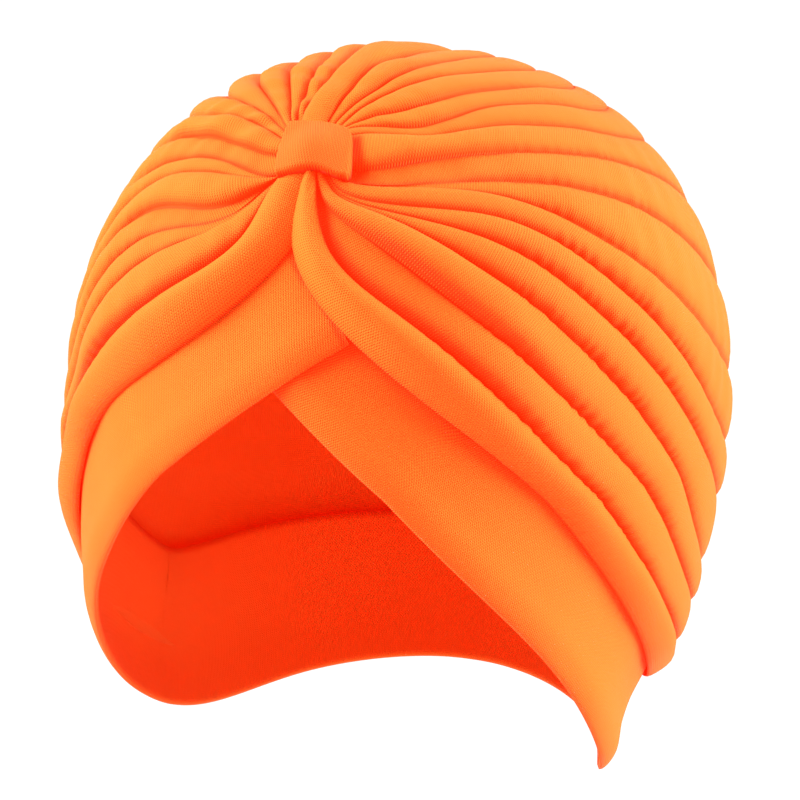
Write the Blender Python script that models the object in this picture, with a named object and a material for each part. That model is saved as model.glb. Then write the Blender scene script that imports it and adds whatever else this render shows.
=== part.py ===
"""Pleated turban hat of stretch jersey, in three sewn pieces.

pleated_crown: the shell over the head, gathered under the knot, with rolled pleats to a back seam.
brow_band: the folded band round the opening, its left end laid over its right end at the brow.
knot_loop: the short strap that holds the gathered pleats.

Metres. +X is the wearer's left, -Y the front, +Z up. The origin is the top of the hollow, where the
hat sits on a head. A direction is a unit vector from the middle of the head.
"""

import math

import bmesh
import bpy
from mathutils import Vector

# Head that the hat is cut for, measured from its middle to its skin.
HEAD_HALF_WIDTH = 0.079
HEAD_FRONT = 0.090
HEAD_BACK = 0.102
HEAD_UP = 0.094
HEAD_DOWN = 0.118
SHOULDER_FULLNESS = 0.17

# Cloth and clearances.
BAND_WALL = 0.0020
CROWN_WALL = 0.0022
LOOP_WALL = 0.0016
CLEARANCE = 0.0003
FACET_ROOM = 0.0009

# Pleats.
PLEAT_RISE = 0.0040
LINING_SHARE = 0.6
NARROW_PLEAT_SHARE = 0.35
SEAM_RISE_SHARE = 0.35
GATHER_RADIUS = 0.0105
GATHER_RIDGE = 0.0010
GATHER_HEIGHT = 0.0030
PUFF_HEIGHT = 0.0020

# Band and knot.
BAND_WIDTH = 0.043
BAND_TAIL = 0.09
LOOP_WIDTH = 0.0185
LOOP_TOP_SHARE = 0.78
LOOP_LENGTH = 0.0170
KNOT_ELEVATION = 48.0
BROW_ELEVATION = 25.0

# The seams between the pleats, from the band up to the middle of the top, in degrees. knot and brow
# are angles round the knot from straight down, on the gather and on a ring below it. side and back
# are elevations over the ear and on the back seam.
SEAM_COLUMNS = ("knot", "brow", "side", "back")
SEAM_TABLE = (
    (-4.0, 29.5, -25.0, -25.0),
    (15.0, 47.5, -19.3, -20.0),
    (31.0, 61.5, -13.2, -15.0),
    (39.0, 73.5, -4.7, -10.0),
    (46.0, 82.3, 5.0, -5.0),
    (53.0, 90.5, 14.2, 0.0),
    (61.0, 99.2, 23.8, 5.0),
    (74.0, 106.3, 36.9, 10.0),
    (94.0, 114.9, 48.3, 15.0),
    (118.0, 126.2, 55.9, 20.0),
    (137.0, 135.8, 62.6, 25.5),
    (153.0, 146.7, 68.2, 31.0),
    (166.0, 159.0, 74.8, 37.0),
    (174.0, 168.8, 82.4, 43.5),
    (180.0, 180.0, 90.0, 50.0),
)
BROW_RING = 28.0

# One pleat from its lower to its upper edge: a slow rise and a steep stitched upper edge.
PROFILE_COLUMNS = ("across", "rise")
PLEAT_PROFILE = ((0.0, 0.0), (0.32, 0.70), (0.68, 1.0), (0.92, 0.80))

# The band's lower edge from the brow back to the nape.
EDGE_COLUMNS = ("azimuth", "elevation")
BAND_EDGE = ((0.0, 13.8), (38.0, -12.4), (90.0, -38.7), (180.0, -38.5))
EDGE_SHARES = (0.0, 0.25, 0.6, 1.0)

# Shares of a seam's length, from the gather to the back seam, where its stations and its rows lie.
STATION_SHARES = (0.0, 0.22, 0.62, 1.0)
GATHER_ROWS = 3
ROW_SHARES = (
    0.07, 0.11, 0.15, 0.20, 0.25, 0.31, 0.37, 0.43, 0.49, 0.55, 0.61, 0.67, 0.73, 0.79, 0.85, 0.91, 0.96, 1.0,
)
LEVEL_SEAMS = 4.0
FULL_RISE_SHARE = 0.20
SEAM_FADE_SHARE = 0.93
BAND_ROWS = 64
BAND_COLUMNS = 5
LOOP_ROWS = 8
LOOP_COLUMNS = 12

PLEATS = len(SEAM_TABLE) - 1
SLIT_ROWS = GATHER_ROWS + 1
STEP_FULL_ANGLE = 32.0
STEP_END_ANGLE = 58.0

# Colours of the cloth, linear.
JERSEY_COLOUR = (1.0, 0.235, 0.018, 1.0)
BAND_COLOUR = (1.0, 0.22, 0.016, 1.0)
JERSEY_ROUGHNESS = 0.72


def smooth(low, high, value):
    """0 below low, 1 above high, and a smooth step between them."""
    share = min(max((value - low) / (high - low), 0.0), 1.0)
    return share * share * (3.0 - 2.0 * share)


def sphere(azimuth, elevation):
    """Direction by degrees: azimuth from the front towards the wearer's left, elevation upwards."""
    turn, lift = math.radians(azimuth), math.radians(elevation)
    flat = math.cos(lift)
    return Vector((math.sin(turn) * flat, -math.cos(turn) * flat, math.sin(lift)))


def head_axes(direction):
    """Half sizes of the head on the side that a direction points to."""
    depth = HEAD_FRONT if direction.y < 0.0 else HEAD_BACK
    height = HEAD_UP if direction.z > 0.0 else HEAD_DOWN
    return HEAD_HALF_WIDTH, depth, height


def head_point(direction):
    """Point of the head's skin in a direction, fuller at the shoulder between side and top."""
    axes = head_axes(direction)
    upper = max(direction.z, 0.0) ** 2
    fullness = 1.0 + SHOULDER_FULLNESS * upper * (1.0 - upper)
    return Vector([part * axis * fullness for part, axis in zip(direction, axes)])


def head_normal(direction):
    """Outward normal of the head in a direction."""
    axes = head_axes(direction)
    return Vector([part / axis for part, axis in zip(direction, axes)]).normalized()


CROWN_HEIGHT = BAND_WALL + CLEARANCE + FACET_ROOM
SEAT_DEPTH = HEAD_UP + CROWN_HEIGHT


def over_head(direction, height):
    """Point at a height over the head, in the hat's own frame with its origin at the seat."""
    return head_point(direction) + head_normal(direction) * height - Vector((0.0, 0.0, SEAT_DEPTH))


def head_direction(point):
    """Direction whose point of the head lies nearest to a point near the skin."""
    centred = point + Vector((0.0, 0.0, SEAT_DEPTH))
    axes = head_axes(centred)
    return Vector([part / axis for part, axis in zip(centred, axes)]).normalized()


KNOT = sphere(0.0, KNOT_ELEVATION)
KNOT_UP = sphere(0.0, KNOT_ELEVATION + 90.0)
BROW = sphere(0.0, BROW_ELEVATION)
KNOT_DISTANCE = head_point(KNOT).length


def around_knot(radius, angle, side):
    """Direction at an angle of arc from the knot, turned from straight down towards one side."""
    arc, turn = math.radians(radius), math.radians(angle)
    across = Vector((side, 0.0, 0.0))
    spoke = across * math.sin(turn) - KNOT_UP * math.cos(turn)
    return KNOT * math.cos(arc) + spoke * math.sin(arc)


def band_step(direction):
    """Height by which the overlapping end at the brow lifts what lies over it."""
    angle = math.degrees(BROW.angle(direction))
    return (BAND_WALL + CLEARANCE) * (1.0 - smooth(STEP_FULL_ANGLE, STEP_END_ANGLE, angle))


def gather_swell(direction):
    """Height of the bunch under the loop and of the puffed pleats behind it."""
    arc = KNOT.angle(direction) * KNOT_DISTANCE
    bunch = GATHER_HEIGHT * (1.0 - smooth(0.0, GATHER_RADIUS, arc))
    behind = smooth(0.0, 1.0, direction.dot(KNOT_UP) / math.sin(math.radians(BROW_RING)))
    ring = smooth(GATHER_RADIUS, 2.0 * GATHER_RADIUS, arc)
    ring *= 1.0 - smooth(3.0 * GATHER_RADIUS, 6.0 * GATHER_RADIUS, arc)
    return bunch + PUFF_HEIGHT * behind * ring


def cubic_through(points, shares, share):
    """Cubic through four points at four shares."""
    total = Vector((0.0, 0.0, 0.0))
    for index, point in enumerate(points):
        weight = 1.0
        for other, place in enumerate(shares):
            if other != index:
                weight *= (share - place) / (shares[index] - place)
        total += point * weight
    return total


def elevation(direction):
    """Degrees of a direction above the middle of the head."""
    return math.degrees(math.asin(direction.z))


def levelled(points, shares, share, level):
    """Direction on the cubic, levelled off where it ends at the middle of the back."""
    direction = cubic_through(points, shares, share).normalized()
    last_stretch = 1.0 - shares[2]
    into = share - shares[2]
    if into <= 0.0 or level == 0.0:
        return direction
    short = last_stretch / 100.0
    end = cubic_through(points, shares, 1.0).normalized()
    before = cubic_through(points, shares, 1.0 - short).normalized()
    slope = (elevation(end) - elevation(before)) / short
    lift = level * slope * into * into * (1.0 - share) / last_stretch ** 2
    azimuth = math.degrees(math.atan2(direction.x, -direction.y))
    return sphere(azimuth, elevation(direction) + lift)


def seam_row(place):
    """Columns of the seam table at a place between two seams, as a dictionary."""
    index = min(int(place), PLEATS - 1)
    part = place - index
    low, high = SEAM_TABLE[index], SEAM_TABLE[index + 1]
    values = [first + (second - first) * part for first, second in zip(low, high)]
    return dict(zip(SEAM_COLUMNS, values))


def seam_direction(place, side, share):
    """Direction on the line of a seam. A share below 0 lies between the knot and the gather."""
    row = seam_row(place)
    gather_arc = math.degrees(GATHER_RADIUS / KNOT_DISTANCE)
    if share < 0.0:
        return around_knot(gather_arc * (1.0 + share), row["knot"], side)
    stations = (
        around_knot(gather_arc, row["knot"], side),
        around_knot(BROW_RING, row["brow"], side),
        sphere(90.0 * side, row["side"]),
        sphere(180.0, row["back"]),
    )
    return levelled(stations, STATION_SHARES, share, max(1.0 - place / LEVEL_SEAMS, 0.0))


def pleat_rise(place, side, share):
    """Rise that a pleat has room for, fading at the gather and at the back seam."""
    if share <= -1.0:
        return 0.0
    index = min(int(place), PLEATS - 1)
    low = over_head(seam_direction(index, side, share), 0.0)
    high = over_head(seam_direction(index + 1, side, share), 0.0)
    room = (high - low).length * NARROW_PLEAT_SHARE
    full = GATHER_RIDGE + (PLEAT_RISE - GATHER_RIDGE) * smooth(0.0, FULL_RISE_SHARE, share)
    fade = 1.0 - (1.0 - SEAM_RISE_SHARE) * smooth(SEAM_FADE_SHARE, 1.0, share)
    return min(full * fade, room)


def crown_columns():
    """Columns of the crown as side, place between seams and share of the pleat's rise."""
    half = []
    for index in range(PLEATS):
        for sample in PLEAT_PROFILE:
            point = dict(zip(PROFILE_COLUMNS, sample))
            half.append((index + point["across"], point["rise"]))
    middle = [(-1.0, float(PLEATS), 0.0)]
    left = [(-1.0, place, rise) for place, rise in half]
    right = [(1.0, place, rise) for place, rise in reversed(half)]
    return left + middle + right


def crown_rows():
    """Shares of the crown's rows, from the knot itself to the back seam."""
    gather = [row / GATHER_ROWS - 1.0 for row in range(GATHER_ROWS + 1)]
    return gather + list(ROW_SHARES)


def crown_point(column, share, lining):
    """Point of the crown's outer face, or of its lining."""
    side, place, rise = column
    direction = seam_direction(place, side, share)
    height = CROWN_HEIGHT + band_step(direction) + gather_swell(direction)
    wave = rise * pleat_rise(place, side, share)
    if lining:
        return over_head(direction, height + wave * LINING_SHARE)
    return over_head(direction, height + CROWN_WALL + wave)


def add_faces(bm, loops):
    """Add faces from lists of vertices, leaving out repeats within a face."""
    for loop in loops:
        corners = []
        for vertex in loop:
            if vertex not in corners:
                corners.append(vertex)
        if len(corners) > 2:
            bm.faces.new(corners)


def finish_mesh(name, bm, material):
    """Turn a closed bmesh into a smooth-shaded object."""
    bmesh.ops.recalc_face_normals(bm, faces=bm.faces)
    mesh = bpy.data.meshes.new(name)
    bm.to_mesh(mesh)
    bm.free()
    mesh.shade_smooth()
    mesh.materials.append(material)
    piece = bpy.data.objects.new(name, mesh)
    bpy.context.collection.objects.link(piece)
    return piece


def make_crown(material):
    """The pleated shell: an outer face and a lining, sewn down the back and above the brow."""
    bm = bmesh.new()
    columns, rows = crown_columns(), crown_rows()
    last, end = len(columns) - 1, len(rows) - 1
    grids = []
    for lining in (False, True):
        grid = {}
        for row, share in enumerate(rows):
            for number, column in enumerate(columns):
                key = (number, row)
                if row == 0 and number > 0:
                    grid[key] = grid[(0, 0)]
                elif row <= SLIT_ROWS and number == last:
                    grid[key] = grid[(0, row)]
                elif row == end and number > last // 2:
                    grid[key] = grid[(last - number, row)]
                else:
                    point = crown_point(column, share, lining)
                    if row <= SLIT_ROWS and number == 0:
                        point = (point + crown_point(columns[last], share, lining)) / 2.0
                    grid[key] = bm.verts.new(point)
        grids.append(grid)
        add_faces(bm, [
            (grid[(number, row)], grid[(number, row + 1)], grid[(number + 1, row + 1)], grid[(number + 1, row)])
            for row in range(end)
            for number in range(last)
        ])
    outer, inner = grids
    for edge in (0, last):
        add_faces(bm, [
            (outer[(edge, row)], outer[(edge, row + 1)], inner[(edge, row + 1)], inner[(edge, row)])
            for row in range(SLIT_ROWS, end)
        ])
    return finish_mesh("pleated_crown", bm, material)


def band_edge(share):
    """Direction on the band's lower edge: 1 at the right end, 0 at the nape, -1 at the left end."""
    side = 1.0 if share >= 0.0 else -1.0
    stations = []
    for values in BAND_EDGE:
        point = dict(zip(EDGE_COLUMNS, values))
        stations.append(sphere(point["azimuth"] * side, point["elevation"]))
    reach = 1.0 - abs(share) * (1.0 + BAND_TAIL)
    return levelled(stations, EDGE_SHARES, reach, 1.0)


def band_section(share):
    """Directions across the band at one place, from its lower to its upper edge."""
    slope = 0.5 / BAND_ROWS
    ahead = over_head(band_edge(min(share + slope, 1.0)), 0.0)
    behind = over_head(band_edge(max(share - slope, -1.0)), 0.0)
    along = (ahead - behind).normalized()
    direction = band_edge(share)
    section = [direction]
    for _ in range(BAND_COLUMNS - 1):
        across = head_normal(direction).cross(along).normalized()
        if across.z < 0.0:
            across = -across
        point = over_head(direction, 0.0) + across * BAND_WIDTH / (BAND_COLUMNS - 1)
        direction = head_direction(point)
        section.append(direction)
    return section


def make_band(material):
    """The folded band, whose left end steps over its right end at the brow."""
    bm = bmesh.new()
    sections = []
    for row in range(BAND_ROWS + 1):
        share = 2.0 * row / BAND_ROWS - 1.0
        loop = []
        directions = band_section(share)
        for height in (BAND_WALL, 0.0):
            for direction in directions if height else reversed(directions):
                step = band_step(direction) if share < 0.0 else 0.0
                loop.append(bm.verts.new(over_head(direction, height + step)))
        sections.append(loop)
    around = len(sections[0])
    for first, second in zip(sections, sections[1:]):
        add_faces(bm, [
            (first[corner], first[(corner + 1) % around], second[(corner + 1) % around], second[corner])
            for corner in range(around)
        ])
    bm.faces.new(sections[0])
    bm.faces.new(list(reversed(sections[-1])))
    return finish_mesh("brow_band", bm, material)


def loop_point(across, along, height):
    """Point of the strap: across from -1 to 1 to the wearer's left, along from -1 to 1 upwards."""
    taper = 1.0 + (LOOP_TOP_SHARE - 1.0) * (along + 1.0) / 2.0
    sideways = across * LOOP_WIDTH / 2.0 * taper / KNOT_DISTANCE
    upwards = along * LOOP_LENGTH / 2.0 / KNOT_DISTANCE
    direction = (KNOT + Vector((1.0, 0.0, 0.0)) * sideways + KNOT_UP * upwards).normalized()
    crown = CROWN_HEIGHT + band_step(direction) + gather_swell(direction) + CROWN_WALL
    return over_head(direction, crown + GATHER_RIDGE + CLEARANCE + height)


def make_loop(material):
    """The strap over the gather, bent down at both sides against the crown."""
    bm = bmesh.new()
    grids = []
    for height in (0.0, LOOP_WALL):
        grid = {}
        for row in range(LOOP_ROWS + 1):
            for column in range(LOOP_COLUMNS + 1):
                across = 2.0 * column / LOOP_COLUMNS - 1.0
                along = 2.0 * row / LOOP_ROWS - 1.0
                grid[(column, row)] = bm.verts.new(loop_point(across, along, height))
        grids.append(grid)
        add_faces(bm, [
            (grid[(column, row)], grid[(column + 1, row)], grid[(column + 1, row + 1)], grid[(column, row + 1)])
            for row in range(LOOP_ROWS)
            for column in range(LOOP_COLUMNS)
        ])
    inner, outer = grids
    rim = [(column, 0) for column in range(LOOP_COLUMNS)]
    rim += [(LOOP_COLUMNS, row) for row in range(LOOP_ROWS)]
    rim += [(column, LOOP_ROWS) for column in range(LOOP_COLUMNS, 0, -1)]
    rim += [(0, row) for row in range(LOOP_ROWS, 0, -1)]
    add_faces(bm, [
        (inner[first], inner[second], outer[second], outer[first])
        for first, second in zip(rim, rim[1:] + rim[:1])
    ])
    return finish_mesh("knot_loop", bm, material)


def make_material(name, colour):
    """Jersey as a Principled material."""
    material = bpy.data.materials.new(name)
    material.use_nodes = True
    shader = material.node_tree.nodes["Principled BSDF"]
    shader.inputs["Base Color"].default_value = colour
    shader.inputs["Roughness"].default_value = JERSEY_ROUGHNESS
    shader.inputs["Metallic"].default_value = 0.0
    return material


def main():
    for item in list(bpy.data.objects):
        bpy.data.objects.remove(item, do_unlink=True)
    make_crown(make_material("pleated_jersey", JERSEY_COLOUR))
    make_band(make_material("band_knit", BAND_COLOUR))
    make_loop(make_material("loop_jersey", JERSEY_COLOUR))


main()
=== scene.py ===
"""Orange pleated turban hat of stretch jersey: pleats that fan from a knot above the brow to a back seam,
over a crossed, folded band. Metres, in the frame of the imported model: +X is the wearer's left, -Y the
front, +Z up, and the origin is the top of the hollow, where the hat sits on a head."""
import math

import bpy
import numpy as np
from mathutils import Matrix, Vector


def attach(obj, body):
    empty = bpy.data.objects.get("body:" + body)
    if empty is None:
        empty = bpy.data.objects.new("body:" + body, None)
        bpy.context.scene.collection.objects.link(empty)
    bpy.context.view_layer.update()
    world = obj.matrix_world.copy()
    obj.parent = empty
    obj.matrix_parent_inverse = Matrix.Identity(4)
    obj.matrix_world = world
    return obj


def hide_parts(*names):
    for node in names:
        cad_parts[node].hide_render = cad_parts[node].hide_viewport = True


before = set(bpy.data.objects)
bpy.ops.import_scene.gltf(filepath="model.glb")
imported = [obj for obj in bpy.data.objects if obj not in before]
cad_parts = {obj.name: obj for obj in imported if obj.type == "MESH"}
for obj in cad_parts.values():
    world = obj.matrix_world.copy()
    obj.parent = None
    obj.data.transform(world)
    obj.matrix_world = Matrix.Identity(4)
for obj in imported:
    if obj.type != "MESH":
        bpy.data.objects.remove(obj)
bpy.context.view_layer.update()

scene = bpy.context.scene

# Halves of the hat, by the sign of X.
LEFT = 1.0
RIGHT = -1.0

# Head that the hat is cut for, from its middle to its skin, and the depth of its middle below the origin.
HEAD_HALF_WIDTH = 0.079
HEAD_FRONT = 0.090
HEAD_BACK = 0.102
HEAD_UP = 0.094
HEAD_DOWN = 0.118
SHOULDER_FULLNESS = 0.17
SEAT_DEPTH = 0.0972

# Walls, as heights over the head.
BAND_WALL = 0.0020
CROWN_LINING = 0.0024
CROWN_FACE = 0.0054

# Step over the crossed ends of the band, and where it falls off, in degrees from the brow.
BROW_ELEVATION = 25.0
STEP_HEIGHT = 0.0023
STEP_FALLS = (32.0, 58.0)

# Knot: the bunch under its strap, and the puffed pleats behind it, which come in over the first degrees
# behind the knot. Where they are full, start to fade and end is given in gather radii.
KNOT_ELEVATION = 48.0
STRAP_ELEVATION = 50.0
GATHER_RADIUS = 0.0105
GATHER_HEIGHT = 0.0030
PUFF_HEIGHT = 0.0020
PUFF_ANGLE = 28.0
PUFF_FULL = 2.0
PUFF_FADES = 3.0
PUFF_ENDS = 6.0

# Mesh of one half of the crown. The hair keeps a seam's column on the pleat above it.
PLEATS = 14
COLUMNS_IN_PLEAT = 11
ROWS_ALONG = 470
ROW_CROWDING = 1.12
KNOT_ROWS = 12
HAIR = 1e-9

# Stations of each seam from the band up to the middle of the top, in whole degrees: angles round the
# knot from straight down on four rings, then on a ring half way to the back, then elevation at the back.
RINGS = (6.3, 14.0, 28.0, 54.0)
LEFT_SEAMS = np.array([
    # gather, strand, brow, quarter, half way, back
    (-18, 1, 28, 52, 71, -31),
    (21, 25, 45, 60, 76, -24),
    (27, 46, 59, 69, 81, -17),
    (44, 62, 72, 79, 86, -11),
    (48, 66, 81, 87, 94, -5),
    (52, 71, 89, 94, 100, 0),
    (69, 84, 97, 101, 110, 5),
    (71, 86, 102, 113, 123, 10),
    (89, 101, 113, 123, 137, 15),
    (148, 121, 124, 131, 152, 20),
    (165, 129, 133, 139, 164, 25),
    (168, 143, 142, 148, 169, 31),
    (172, 160, 154, 158, 173, 37),
    (180, 168, 164, 168, 177, 43),
    (188, 180, 180, 180, 180, 50),
], dtype=float)
RIGHT_SEAMS = np.array([
    # gather, strand, brow, quarter, half way, back
    (-20, 3, 28, 51, 65, -31),
    (57, 34, 46, 60, 72, -24),
    (58, 49, 62, 67, 80, -17),
    (60, 52, 70, 73, 88, -11),
    (61, 59, 79, 80, 96, -5),
    (63, 80, 90, 87, 105, 0),
    (64, 88, 97, 97, 115, 5),
    (96, 102, 107, 110, 126, 10),
    (120, 119, 116, 123, 137, 15),
    (129, 127, 126, 135, 148, 20),
    (131, 133, 136, 145, 158, 25),
    (132, 142, 147, 153, 166, 31),
    (134, 150, 158, 161, 172, 37),
    (138, 159, 168, 170, 177, 43),
    (172, 180, 180, 180, 180, 50),
], dtype=float)
# The lowest seams run level into the middle of the back: how many of them, from which share of their
# length on, and the last step of it, which gives their slope there.
LEVEL_SEAMS = 4.0
LEVEL_START = 0.66
LEVEL_STEP = 0.004

# Share of its full rise that each strand keeps at the knot, from the band up, and how far it lies sunk.
LEFT_STRANDS = (
    (1.40, 0.0), (0.55, 0.0011), (1.30, 0.0), (1.0, 0.0), (0.9, 0.0), (0.8, 0.0003), (0.7, 0.0006),
    (0.5, 0.0012), (1.15, 0.0), (0.8, 0.0004), (0.9, 0.0), (0.9, 0.0), (1.1, 0.0), (1.2, 0.0),
)
RIGHT_STRANDS = (
    (1.1, 0.0), (0.8, 0.0003), (0.7, 0.0006), (0.6, 0.0010), (1.0, 0.0), (0.9, 0.0003), (0.8, 0.0008),
    (1.2, 0.0), (1.0, 0.0), (0.8, 0.0006), (1.2, 0.0), (1.2, 0.0), (1.2, 0.0), (1.1, 0.0),
)

# The names that end in ALONG give where something comes in or goes out along the seams, by shares: -1 is
# under the strap, 0 at the gather and 1 at the back seam. Those that end in UP give the same by places up
# the crown: 0 is at the band and 14 at the middle of the top.
STRAP_EDGE_ALONG = (-0.95, -0.60)
BACK_ALONG = (0.74, 0.98)

# Roll of the pleats: its rise at the gather and beyond it, and the most of it as a share of the width.
GATHER_RISE = 0.0022
PLEAT_RISE = 0.0040
PLEAT_RISE_ALONG = (0.0, 0.12)
PLEAT_ROUNDNESS = 0.42
PLEAT_LEAN = 0.10
ROLL_FLATNESS = 2.7
ROLL_FULLNESS = 0.55
LINING_SHARE = 0.55
LOWEST_LINING_SHARE = 0.35
# What is left of it at the sides and at the back seam, where the foot of each pleat is lifted instead.
SIDE_RISE = 0.55
SIDE_ALONG = (0.28, 0.62)
SEAM_RISE = 0.60
SEAM_ALONG = (0.93, 1.0)
FOOT_LIFT = 0.70
LIFT_UP = ((0.0, 1.5), (13.2, 14.0))
# The upper pleats of the left half flatten out towards the side.
FLAT_LOSS = 0.62
FLAT_LIFT = 0.75
FLAT_ALONG = ((0.12, 0.32), BACK_ALONG)
FLAT_UP = (4.5, 8.0)
# The rise wanders a little along each pleat. Near the knot each strand has its own rise and depth.
RISE_WANDER = 0.10
RISE_WAVE = 0.045
STRANDS_ALONG = (0.10, 0.24)
SUNK_ALONG = (-0.4, 0.0)

# Height taken off each half to match the photograph's outline, by places.
TRIM_PLACES = (0.0, 3.0, 6.0, 10.0, 12.0, 13.5, 14.0)
TRIMS = {
    LEFT: (0.0004, 0.0014, -0.0006, -0.0008, 0.0, 0.0, 0.0),
    RIGHT: (0.0018, 0.0016, 0.0014, 0.0014, 0.0012, -0.0006, 0.0),
}
TRIM_ALONG = ((0.16, 0.30), BACK_ALONG)
TRIM_UP = (0.0, 1.0)

# Stitch puckers: they pinch each seam, shift it to and fro and dimple the cloth on both sides of it.
PUCKER_PITCH = 0.0040
PUCKER_WAVES = (0.016, 0.022)
PUCKER_SWAY = 2.0
PUCKER_STRENGTH = 0.62
PUCKER_WANDER = 0.38
WEAKEST_PUCKER = 0.1
PUCKERS_ALONG = ((0.10, 0.26), (0.97, 1.0))
PUCKER_SIDE_LOSS = 0.7
PUCKER_SIDE_ALONG = (0.32, 0.55)
PUCKER_SHARES = ((6, 0.55), (9, 0.4))
PUCKER_DEPTH = 0.0004
UPPER_PUCKER_SHARE = 0.7
LOW_DIMPLE = (0.0007, 0.0008)
HIGH_DIMPLE = (0.0005, 0.0006)
SEAM_SHIFT = 0.0007
SHIFT_REACH = 0.0015
SHIFT_UP = ((0.0, 0.5), (13.5, 14.0))
NARROW_PLEAT = 0.003

# Deep gaps over the lowest strands.
GAP_DEPTH = 0.0012
GAP_WIDTHS = {LEFT: 0.0022, RIGHT: 0.0017}
GAPS_END_ALONG = {LEFT: (0.14, 0.34), RIGHT: (0.26, 0.42)}
SECOND_GAP_SHARE = 0.8
SECOND_GAP_ALONG = (0.03, 0.10)
RIGHT_GAP_ALONG = (0.04, 0.10)
GAP_DEPTH_ALONG = (0.0, 0.03)

# Hollow beside the strap, on the left half.
HOLLOW_DEPTH = 0.0010
HOLLOW_ALONG = ((-0.5, -0.1), (0.004, 0.020))
HOLLOW_UP = ((5.5, 6.5), (8.7, 9.0))

# Soft creases across the wide pleats.
CREASE_HEIGHT = 0.00032
CREASE_PITCH = 0.0115
CREASE_LEAN = 0.4
CREASE_SWAY = 1.5
CREASE_WAVES = (0.05, 0.06)
CREASES_ALONG = ((0.24, 0.34), (0.60, 0.75))
CREASES_UP = ((4.0, 5.5), (8.0, 10.0))

# One dimple in the left half: its depth, and its middle and reach by share and by place.
DIMPLE_DEPTH = 0.0009
DIMPLE_ALONG = (0.215, 0.03)
DIMPLE_UP = (2.72, 0.22)

# Small crumples near the knot.
CRUMPLES = {LEFT: 0.00015, RIGHT: 0.00050}
CRUMPLE_WAVE = 0.010
CRUMPLE_LEAN = 0.7
LOW_CRUMPLES = 0.3
CRUMPLES_ALONG = ((0.01, 0.05), (0.14, 0.26))
CRUMPLES_UP = (5.0, 7.5)

# The lowest pleat rolls down onto the band and follows its flare, and the ends dip under the strap.
ROLL_DOWN = (0.0, 0.75)
RIM_FLARES = {LEFT: 0.12, RIGHT: 0.38}
RIM_ALONG = (0.1, 0.3)
RIM_UP = (0.0, 1.5)
STRAP_DIP = 0.0014
STRAP_DIP_ALONG = (-1.0, -0.60)

# Painted shade and painted red glow in the folds, as depths from 0 to 1, and how far each reaches. The
# lining gets an even painted shade.
FOLD_SHARE = 0.16
NARROWEST_FOLD = 0.0001
WIDEST_FOLDS = {LEFT: 0.0013, RIGHT: 0.0009}
FOLD_EVEN = 0.85
FOLD_PINCHED = 0.45
FOLD_POWER = 1.2
UPPER_FOLD = 0.00035
LOWEST_FOLD = 0.5
DIMPLE_PAINTED_SHADE = 0.15
SUNK_PAINTED_SHADE = 200.0
GAP_PAINTED_SHADE = 1.5
GAP_EXTRA = 0.25
HOLLOW_PAINTED_SHADE = 0.95
SHADE_COLOUR = 0.32
SHADE_REACH = 0.0045
SHADE_ALONG = (0.20, 0.42)
SHADE_UP = ((0.8, 1.2), (4.5, 6.5))
LINING_PAINTED_SHADE = 0.25

# Cloth map of the crown: how far the knit leans over at the sides, and the shift from pleat to pleat.
KNIT_LEAN = 0.9
KNIT_LEAN_ALONG = (0.20, 0.50)
MAP_STEP = 0.02

# Band: its mesh, its width, its tails past the brow, and its lower edge from the brow past the nape.
BAND_ROWS = 420
BAND_COLUMNS = 26
BAND_CROWDING = 1.35
BAND_WIDTH = 0.043
BAND_TAIL = 0.09
EDGE_SHARES = np.array([0.0, 0.13, 0.25, 0.38, 0.50, 0.62, 0.80, 1.0, 1.2, 1.38])
EDGE_AZIMUTHS = np.array([0.0, 19.0, 38.0, 58.0, 77.0, 97.0, 135.0, 180.0, 225.0, 263.0])
EDGE_ELEVATIONS = np.array([14.4, 1.1, -11.6, -24.8, -37.9, -45.6, -45.0, -43.0, -45.0, -45.6])
EDGE_FLARES = np.array([0.0, 0.0009, 0.0014, 0.0034, 0.0060, 0.0046, 0.0024, 0.0006, 0.0024, 0.0046])
# Where the flare fades across the band's width, on the left and on the right.
FLARE_FADES = ((0.0, 0.50), (0.22, 0.95))
# Its folded edge, the bulge over it, its back edge, and its soft unevenness.
FOLD_ROUND = 0.0034
BACK_ROUND = 0.0012
BULGE_HEIGHT = 0.0008
BULGE_PLACE = (0.006, 0.004)
UNEVENNESS = 0.00025
UNEVEN_WAVE = 0.05
UNEVEN_LEAN = 0.35
UNEVEN_SEED = 7
BAND_KNIT_LEAN = 0.5
# Painted shade along its lower edge, under the crown's rim and under the end that lies on top.
EDGE_PAINTED_SHADE = 0.45
EDGE_REACH = 0.0016
RIM_PAINTED_SHADE = 0.9
RIM_REACH = 0.0022
RIM_STEPS = 240
OVERLAP_REACH = 0.0040

# Strap: its mesh, its corners from the lower right of the wearer round to the upper right, its rounded
# corners, the arch and ripple of its lower edge, and the bow of its sides.
STRAP_COLUMNS = 44
STRAP_ROWS = 36
STRAP_CORNERS = (
    (-0.0082, -0.0749, -0.0224), (0.0106, -0.0730, -0.0209),
    (0.0068, -0.0620, -0.0107), (-0.0100, -0.0611, -0.0105),
)
CORNER_ROUND = 0.08
CORNER_POWER = 6
STRAP_ARCH = 0.13
ARCH_LEAN = 0.5
STRAP_RIPPLE = 0.03
RIPPLE_WAVE = (5.0, 0.6)
STRAP_BOW = 0.03
# Its wall, its clearance over the gather and how far its back sinks in, its crown and its tucked edges.
STRAP_WALL = 0.0018
STRAP_CLEARANCE = 0.0003
STRAP_SINK = 0.0002
STRAP_CROWN = 0.0004
SIDE_TUCK = 0.0016
SIDE_TUCK_FROM = 0.92
SIDE_TUCK_POWER = 1.5
END_TUCK = 0.0006
END_TUCK_FROM = 0.94
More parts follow.
